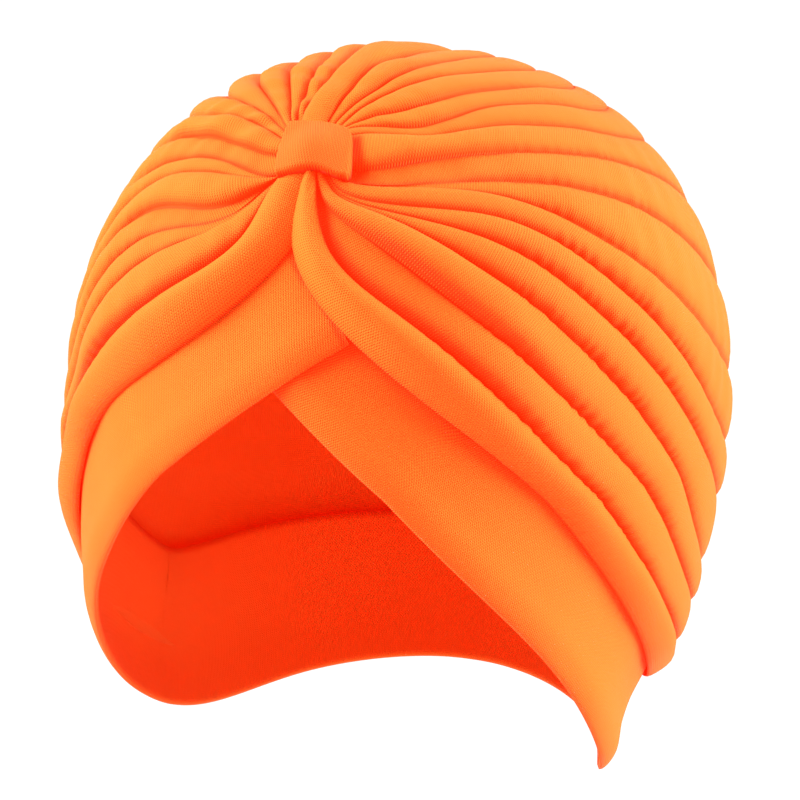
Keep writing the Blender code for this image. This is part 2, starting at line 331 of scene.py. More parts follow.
# Size of its cloth map, and the painted shade of its sides, its ends and its back.
STRAP_MAP = (0.018, 0.016)
STRAP_MAP_LEAN = 0.004
TUCK_PAINTED_SHADE = 0.5
SIDE_SHADE_FROM = 0.93
END_SHADE_FROM = 0.97
STRAP_BACK_PAINTED_SHADE = 0.8

# Irregular waves: how many are summed, their lengths as shares of the given one, and what the sum is
# divided by to stay between about -1 and 1.
WAVES = 4
WAVE_LENGTHS = (0.6, 1.7)
WAVE_SUM = 2.4
# Seed of each half of the crown, and the offsets of the seeds of its waves.
HALF_SEEDS = {LEFT: 11, RIGHT: 211}
PUCKER_SEEDS = (40, 80)
CREASE_SEEDS = (7, 9)
CRUMPLE_SEED = 120

# Cloth: linear colours, among them the deep colour that the knit, the patches and the painted fold shade mix
# towards, and the painted glow of the folds, the pitch of its ribs and loops, and what each thing adds to
# the deep colour.
JERSEY_LIGHT = (0.96, 0.110, 0.007, 1.0)
JERSEY_DEEP_TONE_AND_SHADE = (0.94, 0.021, 0.001, 1.0)
STRAP_LIGHT = (0.96, 0.084, 0.005, 1.0)
NO_GLOW = (0.0, 0.0, 0.0, 1.0)
FOLD_PAINTED_GLOW = (1.0, 0.035, 0.001, 1.0)
RIB_PITCH = 0.00066
LOOP_PITCH = 0.8 * RIB_PITCH
RIB_SHARE = 0.55
LOOP_SHARE = 0.75
PAINTED_SHADE_TINT = 0.8
KNIT_TINT = 0.42
PATCH_TINT = 0.16
PATCH_SCALE = 60.0
PATCH_DETAIL = 3.0
KNIT_BUMP = 0.8
KNIT_DEPTH = 0.00012
CLOTH_FINISH_AND_PAINTED_GLOW = {
    "Roughness": 0.75,
    "Specular IOR Level": 0.1,
    "Sheen Weight": 0.03,
    "Sheen Roughness": 0.45,
    "Sheen Tint": (1.0, 0.62, 0.35, 1.0),
    # Strength of the painted glow in the folds.
    "Emission Strength": 0.40,
}

# Camera: angles in degrees, its distance from the head's middle, its shift, and its lens in millimetres.
CAMERA_AZIMUTH = 19.5
CAMERA_ELEVATION = 11.0
CAMERA_ROLL = 3.0
CAMERA_DISTANCE = 1.0
CAMERA_RIGHT = 0.00127
CAMERA_UP = 0.00743
CAMERA_LENS = 168.8
SENSOR_WIDTH = 36.0
CAMERA_RANGE = (0.05, 20.0)

# Studio: soft panels with their places and watts, the floor, and a white world, darker to the front.
WHITE = (1.0, 1.0, 1.0, 1.0)
PANELS = {
    "panel_left": ((-0.90, -0.50, 0.40), 39.0),
    "panel_right": ((1.00, 0.20, 0.20), 34.0),
    "panel_top": ((-0.05, 0.25, 1.05), 9.0),
}
PANEL_SIZE = 0.7
PANEL_AIM = (0.0, 0.0, -0.09)
FLOOR_SIZE = 30.0
FLOOR_LEVEL = -1.2
FLOOR_COLOUR = (0.97, 0.97, 0.97, 1.0)
FLOOR_ROUGHNESS = 0.9
OPEN_SIDE = (0.33, -0.94, 0.10)
OPEN_FROM = -0.2
OPEN_TO = 0.7
WORLD_LIGHT = 1.30
OPEN_LIGHT = 0.75


def smooth(low, high, value):
    """0 up to low and 1 from high on, with a soft slope between them."""
    share = np.clip((value - low) / (high - low), 0.0, 1.0)
    return share * share * (3.0 - 2.0 * share)


def between(start, end, value):
    """1 between two soft slopes and 0 outside them. Each slope is given by where it starts and stops."""
    return smooth(*start, value) * (1.0 - smooth(*end, value))


def hump(middle, reach, value):
    """Soft hump of height 1."""
    return np.exp(-((value - middle) / reach) ** 2)


def unit(vectors):
    return vectors / np.linalg.norm(vectors, axis=-1, keepdims=True)


def sphere(azimuth, elevation):
    """Directions by degrees: azimuth from the front towards the wearer's left, elevation upwards."""
    turn, lift = np.broadcast_arrays(np.radians(azimuth), np.radians(elevation))
    return np.stack([np.sin(turn) * np.cos(lift), -np.cos(turn) * np.cos(lift), np.sin(lift)], axis=-1)


def head_axes(directions):
    """Half axes of the head, which is longer at the back than in front and longer below than above."""
    wide = np.full(directions.shape[:-1], HEAD_HALF_WIDTH)
    deep = np.where(directions[..., 1] < 0.0, HEAD_FRONT, HEAD_BACK)
    high = np.where(directions[..., 2] > 0.0, HEAD_UP, HEAD_DOWN)
    return np.stack([wide, deep, high], axis=-1)


def head_point(directions):
    """Points of the head's skin, from its middle."""
    upper = np.maximum(directions[..., 2], 0.0) ** 2
    fullness = 1.0 + SHOULDER_FULLNESS * upper * (1.0 - upper)
    return directions * head_axes(directions) * fullness[..., None]


def head_normal(directions):
    return unit(directions / head_axes(directions))


def over_head(directions, heights):
    """Points at heights over the head, in the hat's frame."""
    points = head_point(directions) + head_normal(directions) * np.asarray(heights)[..., None]
    return points - np.array([0.0, 0.0, SEAT_DEPTH])


def head_direction(points):
    """Directions of points in the hat's frame, as over_head takes them."""
    centred = points + np.array([0.0, 0.0, SEAT_DEPTH])
    return unit(centred / head_axes(centred))


KNOT = sphere(0.0, KNOT_ELEVATION)
KNOT_UP = sphere(0.0, KNOT_ELEVATION + 90.0)
STRAP = sphere(0.0, STRAP_ELEVATION)
BROW = sphere(0.0, BROW_ELEVATION)
KNOT_DISTANCE = float(np.linalg.norm(head_point(KNOT)))


def around_knot(arc, angle, side):
    """Directions at an arc from the knot, turned from straight down towards one side."""
    arc, turn = np.broadcast_arrays(np.radians(arc), np.radians(angle))
    across = np.array([side, 0.0, 0.0])
    spoke = across * np.sin(turn)[..., None] - KNOT_UP * np.cos(turn)[..., None]
    return KNOT * np.cos(arc)[..., None] + spoke * np.sin(arc)[..., None]


def arc_to(directions, target):
    """Angle from each direction to a target, in degrees."""
    return np.degrees(np.arccos(np.clip(directions @ target, -1.0, 1.0)))


def band_step(directions):
    """Height by which the overlapping end at the brow lifts what lies over it."""
    return STEP_HEIGHT * (1.0 - smooth(*STEP_FALLS, arc_to(directions, BROW)))


def band_flare(directions):
    """Height by which the band stands off the head where its lower edge flares at the sides."""
    azimuth = np.abs(np.degrees(np.arctan2(directions[..., 0], -directions[..., 1])))
    return np.interp(azimuth, EDGE_AZIMUTHS, EDGE_FLARES)


def gather_swell(directions):
    """Height of the bunch under the strap and of the puffed pleats behind it."""
    arc = np.radians(arc_to(directions, KNOT)) * KNOT_DISTANCE
    bunch = GATHER_HEIGHT * (1.0 - smooth(0.0, GATHER_RADIUS, arc))
    behind = smooth(0.0, 1.0, directions @ KNOT_UP / math.sin(math.radians(PUFF_ANGLE)))
    grows = (GATHER_RADIUS, PUFF_FULL * GATHER_RADIUS)
    fades = (PUFF_FADES * GATHER_RADIUS, PUFF_ENDS * GATHER_RADIUS)
    return bunch + PUFF_HEIGHT * behind * between(grows, fades, arc)


def spline_weights(knots, places):
    """Weights of a natural cubic spline through the knots, a row for each place."""
    count, steps = len(knots), np.diff(knots)
    left, right = np.zeros((count, count)), np.zeros((count, count))
    left[0, 0] = left[-1, -1] = 1.0
    for row in range(1, count - 1):
        before, after = steps[row - 1], steps[row]
        left[row, row - 1:row + 2] = before / 6.0, (before + after) / 3.0, after / 6.0
        right[row, row - 1:row + 2] = 1.0 / before, -1.0 / before - 1.0 / after, 1.0 / after
    bends = np.linalg.solve(left, right)
    index = np.clip(np.searchsorted(knots, places, side="right") - 1, 0, count - 2)
    step = steps[index]
    low, high = (knots[index + 1] - places) / step, (places - knots[index]) / step
    weights = np.zeros((len(places), count))
    rows = np.arange(len(places))
    weights[rows, index] += low
    weights[rows, index + 1] += high
    weights += ((low ** 3 - low) * step ** 2 / 6.0)[:, None] * bends[index]
    weights += ((high ** 3 - high) * step ** 2 / 6.0)[:, None] * bends[index + 1]
    return weights


def wander(places, wavelength, seed):
    """Smooth irregular wave from about -1 to 1 along a line."""
    source = np.random.default_rng(seed)
    total = np.zeros_like(places)
    for _ in range(WAVES):
        pitch = wavelength * source.uniform(*WAVE_LENGTHS)
        total += np.sin(2.0 * math.pi * places / pitch + source.uniform(0.0, 2.0 * math.pi))
    return total / WAVE_SUM


def seam_line(row, place, side, shares):
    """Directions along one seam line, by shares of its length: -1 under the strap, 0 at the gather and
    1 at the back seam."""
    *angles, back = row
    half_way = (RINGS[-1] + 180.0 - KNOT_ELEVATION - back) / 2.0
    stations = [around_knot(arc, angle, side) for arc, angle in zip((*RINGS, half_way), angles)]
    stations = np.stack([STRAP, *stations, sphere(180.0, back)])
    steps = np.arccos(np.clip(np.sum(stations[1:] * stations[:-1], axis=-1), -1.0, 1.0))
    knots = np.concatenate([[0.0], np.cumsum(steps)]) / np.sum(steps)
    gather = knots[1]
    along = np.where(shares < 0.0, gather * (1.0 + shares), gather + (1.0 - gather) * shares)
    line = unit(spline_weights(knots, along) @ stations)
    # Level off the low seams where they end at the middle of the back.
    ends = unit(spline_weights(knots, np.array([1.0 - LEVEL_STEP, 1.0])) @ stations)
    lifts = np.degrees(np.arcsin(ends[:, 2]))
    level = max(1.0 - place / LEVEL_SEAMS, 0.0) * (lifts[1] - lifts[0]) / LEVEL_STEP
    into = np.maximum(along - LEVEL_START, 0.0)
    lift = level * into ** 2 * (1.0 - along) / (1.0 - LEVEL_START) ** 2
    azimuth = np.degrees(np.arctan2(line[:, 0], -line[:, 1]))
    elevation = np.degrees(np.arcsin(np.clip(line[:, 2], -1.0, 1.0)))
    return np.where((lift != 0.0)[:, None], sphere(azimuth, elevation + lift), line)


def between_seams(lines, places, shift=0.0):
    """Directions at places between the seam lines, such as 2.5 for the middle of the third pleat, with a
    shift up the crown as a share of the pleat."""
    index = np.clip(np.floor(places).astype(int), 0, PLEATS - 1)
    part = ((places - index)[None] + shift)[..., None]
    return unit(lines[:, index] * (1.0 - part) + lines[:, index + 1] * part)


class HalfCrown:
    """Seam lines of one half of the crown, and the rows and columns of cloth between them. The rows go by
    shares along the seams, and the columns by places up from the band."""

    def __init__(self, table, side):
        self.side, self.seed = side, HALF_SEEDS[side]
        angles = math.pi * np.arange(COLUMNS_IN_PLEAT) / COLUMNS_IN_PLEAT
        across = (1.0 - np.cos(angles)) / 2.0
        self.places = np.concatenate([index + across for index in range(PLEATS)] + [[float(PLEATS)]])
        self.pleat = np.minimum(np.floor(self.places + HAIR).astype(int), PLEATS - 1)
        self.across = self.places - self.pleat
        along = np.linspace(0.0, 1.0, ROWS_ALONG + 1) ** ROW_CROWDING
        shares = np.concatenate([np.arange(-KNOT_ROWS, 0) / KNOT_ROWS, along])
        self.shares = shares[:, None]
        lines = [seam_line(row, place, side, shares) for place, row in enumerate(table)]
        self.lines = np.stack(lines, axis=1)
        points = over_head(self.lines, np.zeros(self.lines.shape[:2]))
        steps = np.linalg.norm(np.diff(points, axis=0), axis=-1)
        self.lengths = np.concatenate([np.zeros((1, PLEATS + 1)), np.cumsum(steps, axis=0)])
        self.widths = np.linalg.norm(np.diff(points, axis=1), axis=-1)
        # Width of the pleat at each column, the gaps to its two seams, and the length along it.
        self.wide = self.widths[:, self.pleat]
        self.low_gap, self.high_gap = self.across * self.wide, (1.0 - self.across) * self.wide
        low, high = self.lengths[:, self.pleat], self.lengths[:, self.pleat + 1]
        self.middle = low * (1.0 - self.across) + high * self.across


def pleat_rises(half, strands):
    """Rise of each pleat over its seams, the lift of its foot, and how far its strand lies sunk."""
    shares = half.shares
    full = GATHER_RISE * smooth(*STRAP_EDGE_ALONG, shares)
    full = full + (PLEAT_RISE - GATHER_RISE) * smooth(*PLEAT_RISE_ALONG, shares)
    kept = 1.0 - (1.0 - SIDE_RISE) * smooth(*SIDE_ALONG, shares)
    kept = kept * (1.0 - (1.0 - SEAM_RISE) * smooth(*SEAM_ALONG, shares))
    rise = np.minimum(full * kept, half.widths * PLEAT_ROUNDNESS)
    lift = np.maximum(PLEAT_RISE * FOOT_LIFT - rise, 0.0) * smooth(*SIDE_ALONG, shares)
    if half.side == LEFT:
        lost = FLAT_LOSS * rise * smooth(*FLAT_UP, np.arange(float(PLEATS)))[None]
        lost = lost * between(*FLAT_ALONG, shares)
        rise -= lost
        lift += FLAT_LIFT * lost
    near_knot = 1.0 - smooth(*STRANDS_ALONG, shares[:, 0])
    sunk = np.zeros_like(rise)
    for index, (share_kept, depth) in enumerate(strands):
        middle = (half.lengths[:, index] + half.lengths[:, index + 1]) / 2.0
        rise[:, index] *= 1.0 + RISE_WANDER * wander(middle, RISE_WAVE, half.seed + index)
        rise[:, index] *= 1.0 + (share_kept - 1.0) * near_knot
        sunk[:, index] = depth * near_knot * smooth(*SUNK_ALONG, shares[:, 0])
    return rise, lift, sunk


def pleat_profile(across, pleat):
    """Height of a rolled pleat from 0 at its seams to 1 at the crest. The lowest one is quite round."""
    leaned = np.clip(across + PLEAT_LEAN * across * (1.0 - across) * 2.0, 0.0, 1.0)
    rolled = (1.0 - np.abs(2.0 * leaned - 1.0) ** ROLL_FLATNESS) ** ROLL_FULLNESS
    return np.where(pleat == 0, np.sqrt(np.clip(4.0 * across * (1.0 - across), 0.0, 1.0)), rolled)


def seam_puckers(half):
    """Strength of the stitch puckers along each seam, from 0 to 1."""
    pinch = np.zeros_like(half.lengths)
    phase_wave, strength_wave = PUCKER_WAVES
    phase_seed, strength_seed = PUCKER_SEEDS
    for index in range(PLEATS + 1):
        line = half.lengths[:, index]
        phase = 2.0 * math.pi * line / PUCKER_PITCH
        phase = phase + PUCKER_SWAY * wander(line, phase_wave, half.seed + phase_seed + index)
        strength = wander(line, strength_wave, half.seed + strength_seed + index)
        strength = np.clip(PUCKER_STRENGTH + PUCKER_WANDER * strength, WEAKEST_PUCKER, 1.0)
        pinch[:, index] = (0.5 + 0.5 * np.cos(phase)) * strength
    pinch *= between(*PUCKERS_ALONG, half.shares)
    pinch *= 1.0 - PUCKER_SIDE_LOSS * smooth(*PUCKER_SIDE_ALONG, half.shares)
    for first, share in PUCKER_SHARES:
        pinch[:, first:] *= share
    return pinch


def deep_gaps(half):
    """Deep gaps over the lowest strands, from 0 to 1."""
    gap = np.exp(-(half.low_gap / GAP_WIDTHS[half.side]) ** 2)
    gap = gap * (1.0 - smooth(*GAPS_END_ALONG[half.side], half.shares))
    first, second = (half.pleat == 1)[None], (half.pleat == 2)[None]
    if half.side == LEFT:
        return gap * (first + SECOND_GAP_SHARE * second * smooth(*SECOND_GAP_ALONG, half.shares))
    return gap * first * smooth(*RIGHT_GAP_ALONG, half.shares)


def strap_hollow(half):
    """Hollow beside the strap, from 0 to 1. The right half has none."""
    hollow = between(*HOLLOW_UP, half.places)[None] * between(*HOLLOW_ALONG, half.shares)
    return hollow * (half.side == LEFT)


def cross_creases(half):
    """Height of the soft creases across the wide pleats."""
    sway, swell = (wander(half.middle, wave, half.seed + offset)
                   for wave, offset in zip(CREASE_WAVES, CREASE_SEEDS))
    turns = 2.0 * math.pi * (half.middle + CREASE_LEAN * half.low_gap) / CREASE_PITCH
    area = between(*CREASES_ALONG, half.shares) * between(*CREASES_UP, half.places)[None]
    return CREASE_HEIGHT * np.sin(turns + CREASE_SWAY * sway) * (0.5 + 0.5 * swell) * area


def knot_crumples(half):
    """Height of the small crumples near the knot."""
    leaning = half.middle + CRUMPLE_LEAN * half.low_gap
    crumple = np.zeros_like(leaning)
    for index in range(PLEATS):
        columns = half.pleat == index
        crumple[:, columns] = wander(leaning[:, columns], CRUMPLE_WAVE, half.seed + CRUMPLE_SEED + index)
    crumple *= between(*CRUMPLES_ALONG, half.shares)
    crumple *= LOW_CRUMPLES + (1.0 - LOW_CRUMPLES) * smooth(*CRUMPLES_UP, half.places)[None]
    return CRUMPLES[half.side] * crumple


def rim_flare(half, paths, places):
    """Height by which the lowest pleats follow the flare of the band."""
    rim = (1.0 - smooth(*RIM_UP, places))[None] * smooth(*RIM_ALONG, half.shares)
    return RIM_FLARES[half.side] * band_flare(paths) * rim


def paint_fold_shade(half, low_pinch, low_dimple, sunk, gap, hollow):
    """Painted shade in the folds, which also sets their painted glow: 0 on the crests, 1 in the folds, more
    in the deep gaps.
    """
    spread = np.clip(half.wide * FOLD_SHARE, NARROWEST_FOLD, WIDEST_FOLDS[half.side])
    spread = spread * (FOLD_EVEN + FOLD_PINCHED * low_pinch)
    colour = np.exp(-(half.low_gap / spread) ** FOLD_POWER)
    colour = colour * np.where(half.pleat == 0, LOWEST_FOLD, 1.0)[None]
    colour += np.exp(-half.high_gap / UPPER_FOLD)
    # Painted shade in the dimples, over the sunk strands and in the deep gaps.
    colour += DIMPLE_PAINTED_SHADE * low_dimple + SUNK_PAINTED_SHADE * sunk + GAP_PAINTED_SHADE * gap
    if half.side == LEFT:
        shaded = (1.0 - smooth(*SHADE_ALONG, half.shares)) * between(*SHADE_UP, half.places)[None]
        colour += SHADE_COLOUR * np.exp(-half.low_gap / SHADE_REACH) * shaded
    colour = np.clip(colour, 0.0, 1.0 + GAP_EXTRA * gap)
    return np.maximum(colour, HOLLOW_PAINTED_SHADE * hollow)


def crown_face(half, rise, lift, sunk):
    """Outer face of one half of the crown, and its painted fold shade."""
    pleat, places, shares = half.pleat, half.places, half.shares
    pinch = seam_puckers(half)
    low_pinch, high_pinch = pinch[:, pleat], pinch[:, pleat + 1]
    nudge = low_pinch * np.exp(-half.low_gap / SHIFT_REACH)
    nudge += high_pinch * np.exp(-half.high_gap / SHIFT_REACH)
    nudge *= between(*SHIFT_UP, places)[None]
    paths = between_seams(half.lines, places, SEAM_SHIFT * nudge / np.maximum(half.wide, NARROW_PLEAT))
    profile = pleat_profile(half.across, pleat)[None]
    height = CROWN_FACE + band_step(paths) + gather_swell(paths) + profile * rise[:, pleat]
    trim = np.interp(places, TRIM_PLACES, TRIMS[half.side]) * smooth(*TRIM_UP, places)
    height -= trim[None] * between(*TRIM_ALONG, shares)
    height += lift[:, pleat] * between(*LIFT_UP, places)[None]
    height -= sunk[:, pleat] * profile

    low_dimple = hump(*LOW_DIMPLE, half.low_gap) * low_pinch
    high_dimple = hump(*HIGH_DIMPLE, half.high_gap) * high_pinch
    dimples = low_dimple + UPPER_PUCKER_SHARE * high_dimple
    height -= PUCKER_DEPTH * dimples * np.minimum(profile * 2.0, 1.0)
    gap, hollow = deep_gaps(half), strap_hollow(half)
    height -= GAP_DEPTH * gap * smooth(*GAP_DEPTH_ALONG, shares)
    height -= HOLLOW_DEPTH * hollow
    height += cross_creases(half) * profile
    if half.side == LEFT:
        height -= DIMPLE_DEPTH * hump(*DIMPLE_ALONG, shares) * hump(*DIMPLE_UP, places[None])
    height += knot_crumples(half) * profile

    lowest = np.where(pleat == 0, 1.0 - smooth(*ROLL_DOWN, half.across), 0.0)[None]
    height -= (CROWN_FACE - CROWN_LINING) * lowest * smooth(*STRAP_EDGE_ALONG, shares)
    height += rim_flare(half, paths, places)
    height -= STRAP_DIP * (1.0 - smooth(*STRAP_DIP_ALONG, shares))
    return over_head(paths, height), paint_fold_shade(half, low_pinch, low_dimple, sunk[:, pleat], gap, hollow)


def crown_map(half):
    """Map of the cloth: along the pleat, and across it."""
    lean = KNIT_LEAN * smooth(*KNIT_LEAN_ALONG, half.shares)
    return np.stack([half.middle - lean * half.low_gap, half.low_gap + MAP_STEP * half.pleat[None]], axis=-1)


def crown_lining(half, rise):
    """Inner face of one half of the crown, with two columns to a pleat."""
    places = np.arange(2 * PLEATS + 1) / 2.0
    pleat = np.minimum(places.astype(int), PLEATS - 1)
    paths = between_seams(half.lines, places)
    crest = (places % 1.0 > 0.0) * np.where(pleat == 0, LOWEST_LINING_SHARE, 1.0)
    height = CROWN_LINING + band_step(paths) + gather_swell(paths)
    height += crest[None] * LINING_SHARE * rise[:, pleat] + rim_flare(half, paths, places)
    return over_head(paths, height)


def face_out(mesh):
    """Point the faces of a closed shell outwards, by the sign of its volume."""
    mesh.calc_loop_triangles()
    points = np.zeros(3 * len(mesh.vertices))
    mesh.vertices.foreach_get("co", points)
    triangles = np.zeros(3 * len(mesh.loop_triangles), dtype=int)
    mesh.loop_triangles.foreach_get("vertices", triangles)
    corners = points.reshape(-1, 3)[triangles.reshape(-1, 3)]
    normals = np.cross(corners[:, 1], corners[:, 2])
    if np.sum(corners[:, 0] * normals) < 0.0:
        mesh.flip_normals()


def new_piece(name, vertices, faces, material, maps, values, sharp=None):
    """Closed piece from arrays, with a cloth map and a painted shade value for each vertex. Edges whose two
    ends are sharp stay sharp."""
    mesh = bpy.data.meshes.new(name)
    mesh.from_pydata(vertices.tolist(), [], faces)
    mesh.validate()
    mesh.shade_smooth()
    loops = np.zeros(len(mesh.loops), dtype=int)
    mesh.loops.foreach_get("vertex_index", loops)
    mesh.uv_layers.new(name="cloth").data.foreach_set("uv", maps[loops].ravel())
    mesh.attributes.new("painted_fold_shade", "FLOAT", "POINT").data.foreach_set("value", values)
    if sharp is not None:
        ends = np.zeros(2 * len(mesh.edges), dtype=int)
        mesh.edges.foreach_get("vertices", ends)
        marks = sharp[ends.reshape(-1, 2)].all(axis=1)
        mesh.attributes.new("sharp_edge", "BOOLEAN", "EDGE").data.foreach_set("value", marks)
    mesh.materials.append(material)
    face_out(mesh)
    piece = bpy.data.objects.new(name, mesh)
    scene.collection.objects.link(piece)
    return piece


def make_crown_half(name, table, strands, side, material):
    """One half of the crown as a closed shell, with the face, the lining and the walls between them."""
    half = HalfCrown(table, side)
    rise, lift, sunk = pleat_rises(half, strands)
    face, painted_fold_shade = crown_face(half, rise, lift, sunk)
    lining = crown_lining(half, rise)
    rows, columns = face.shape[:2]
    inner_columns = lining.shape[1]
    offset, last_row = rows * columns, rows - 1
    # All of the first row is one point under the strap, and the rim along the band is welded: the first
    # column of the lining is that of the face.
    vertices = np.concatenate([face.reshape(-1, 3), lining.reshape(-1, 3)])
    # Painted shade: the depth of the folds on the face, and an even painted shade on the lining.
    values = np.concatenate([painted_fold_shade.ravel(), np.full(rows * inner_columns, LINING_PAINTED_SHADE)])
    face_map = crown_map(half)
    nearest = np.arange(inner_columns) * COLUMNS_IN_PLEAT // 2
    maps = np.concatenate([face_map.reshape(-1, 2), face_map[:, nearest].reshape(-1, 2)])

    def outer(row, column):
        return row * columns + column if row > 0 else 0

    def inner(row, column):
        if row == 0:
            return offset
        return outer(row, 0) if column == 0 else offset + row * inner_columns + column

    faces = []

    def add_face(*corners):
        corners = tuple(dict.fromkeys(corners))
        if len(corners) > 2:
            faces.append(corners)

    for row in range(last_row):
        for column in range(columns - 1):
            add_face(outer(row, column), outer(row, column + 1),
                     outer(row + 1, column + 1), outer(row + 1, column))
        for column in range(inner_columns - 1):
            add_face(inner(row, column), inner(row + 1, column),
                     inner(row + 1, column + 1), inner(row, column + 1))
        add_face(outer(row, columns - 1), inner(row, inner_columns - 1),
                 inner(row + 1, inner_columns - 1), outer(row + 1, columns - 1))
    # Wall at the back seam, in fans from the lining to the finer face.
    for column in range(inner_columns - 1):
        pleat_start = column // 2 * COLUMNS_IN_PLEAT
        pleat_middle = pleat_start + COLUMNS_IN_PLEAT // 2 + 1
        first, last = pleat_start, pleat_middle
        if column % 2 == 1:
            first, last = pleat_middle, pleat_start + COLUMNS_IN_PLEAT
        chain = [outer(last_row, number) for number in range(first, last + 1)]
        add_face(*chain, inner(last_row, column + 1), inner(last_row, column))
    sharp = np.zeros(len(vertices), dtype=bool)
    sharp[[outer(row, columns - 1) for row in range(rows)]] = True
    sharp[[outer(last_row, column) for column in range(columns)]] = True
    return new_piece(name, vertices, faces, material, maps, values, sharp)


def band_line(reach, side):
    """Directions along the band's lower edge on one side, 0 at the brow and 1 at the nape."""
    stations = sphere(EDGE_AZIMUTHS * side, EDGE_ELEVATIONS)
    return unit(spline_weights(EDGE_SHARES, reach) @ stations)


def band_sections(edge, along, width_at):
    """Directions across the band at each width, stepped up from its lower edge at right angles to it."""
    sections = [edge]
    for step in np.diff(width_at):
        across = unit(np.cross(head_normal(sections[-1]), along))
        across = np.where(across[:, 2:3] < 0.0, -across, across)
        points = over_head(sections[-1], np.zeros(len(edge))) + across * step
        sections.append(head_direction(points))
    return np.stack(sections, axis=1)


def rounding(width_at, reach):
    """0 at the edge and 1 from the reach on, along a quarter circle."""
    turn = np.clip(1.0 - width_at / reach, 0.0, 1.0)
    return np.sqrt(np.clip(1.0 - turn ** 2, 0.0, 1.0))


def nearest_gaps(points, line):
    """Distance from each point to the nearest point of a line."""
    return np.linalg.norm(points[:, None] - line[None], axis=-1).min(axis=1)


def paint_band_shade(face, shares, width_at):
    """Painted shade of the band: along its lower edge, under the crown's rim, under the end that lies on
    top, and evenly on its back. Its columns run like the mesh's: down the face to the lower edge, and up the
    back."""
    painted_edge_shade = EDGE_PAINTED_SHADE * np.exp(-width_at[::-1] / EDGE_REACH)
    painted_row_shade = np.concatenate([painted_edge_shade, np.full(BAND_COLUMNS, LINING_PAINTED_SHADE)])
    colour = np.tile(painted_row_shade, (len(shares), 1))
    steps = np.linspace(0.0, 1.0, RIM_STEPS)
    rims = [seam_line(LEFT_SEAMS[0], 0, LEFT, steps), seam_line(RIGHT_SEAMS[0], 0, RIGHT, steps)]
    rim = over_head(np.concatenate(rims), np.full(2 * RIM_STEPS, BAND_WALL))
    top_edge = face[shares < 0.0, 0]
    for row, share in enumerate(shares):
        points = face[row, ::-1]
        gap = nearest_gaps(points, rim)
        gap[:gap.argmin()] = 0.0
        # Painted shadow under the crown's rim.
        colour[row, :BAND_COLUMNS + 1] += RIM_PAINTED_SHADE * np.exp(-(gap / RIM_REACH) ** FOLD_POWER)
        if share > 0.0:
            gap = nearest_gaps(points, top_edge)
            # Painted shadow under the end that lies on top.
            colour[row, :BAND_COLUMNS + 1] += np.exp(-(gap / OVERLAP_REACH) ** FOLD_POWER)
    return np.clip(colour, 0.0, 1.0)


def make_band(material):
    """The folded band as one closed strip with a rounded fold along its lower edge."""
    shares = np.linspace(-1.0, 1.0, BAND_ROWS + 1)
    reach = 1.0 - np.abs(shares) * (1.0 + BAND_TAIL)
    on_left = (shares > 0.0)[:, None]
    edge = np.where((shares >= 0.0)[:, None], band_line(reach, LEFT), band_line(reach, RIGHT))
    base = over_head(edge, np.zeros(BAND_ROWS + 1))
    width_at = BAND_WIDTH * (np.arange(BAND_COLUMNS + 1) / BAND_COLUMNS) ** BAND_CROWDING
    sections = band_sections(edge, unit(np.gradient(base, axis=0)), width_at)
    flare = spline_weights(EDGE_SHARES, np.maximum(reach, 0.0)) @ EDGE_FLARES
    fades = [1.0 - smooth(start, stop, width_at / BAND_WIDTH)[None] for start, stop in FLARE_FADES]
    height = flare[:, None] * np.where(on_left, *fades)
    # The end from the wearer's right lies on top.
    height = height + band_step(sections) * (shares < 0.0)[:, None]
    # The fold turns in along the lower edge, and the knit bulges softly over it.
    rounded = BAND_WALL * 0.5 * (1.0 + rounding(width_at, FOLD_ROUND))
    rounded = rounded + BULGE_HEIGHT * hump(*BULGE_PLACE, width_at)
    lengths = np.concatenate([[0.0], np.cumsum(np.linalg.norm(np.diff(base, axis=0), axis=-1))])
    uneven = [wander(lengths + UNEVEN_LEAN * width, UNEVEN_WAVE, UNEVEN_SEED) for width in width_at]
    flat = np.clip(width_at / FOLD_ROUND, 0.0, 1.0)
    uneven = UNEVENNESS * np.stack(uneven, axis=1) * flat[None]
    face = over_head(sections, height + rounded[None] + uneven)
    back = over_head(sections, height + (BAND_WALL * 0.5 * (1.0 - rounding(width_at, BACK_ROUND)))[None])
    grid = np.concatenate([face[:, ::-1], back[:, 1:]], axis=1)
    out_map = np.concatenate([width_at[::-1], -width_at[1:]])
    along_map = lengths[:, None] + BAND_KNIT_LEAN * out_map[None]
    maps = np.stack(np.broadcast_arrays(along_map, out_map[None]), axis=-1)
    around = grid.shape[1]
    faces = []
    for row in range(BAND_ROWS):
        for column in range(around):
            after = (column + 1) % around
            faces.append((row * around + column, row * around + after,
                          (row + 1) * around + after, (row + 1) * around + column))
    faces.append(tuple(range(around)))
    faces.append(tuple(reversed(range(BAND_ROWS * around, (BAND_ROWS + 1) * around))))
    values = paint_band_shade(face, shares, width_at).ravel()
    return new_piece("band_strip", grid.reshape(-1, 3), faces, material, maps.reshape(-1, 2), values)


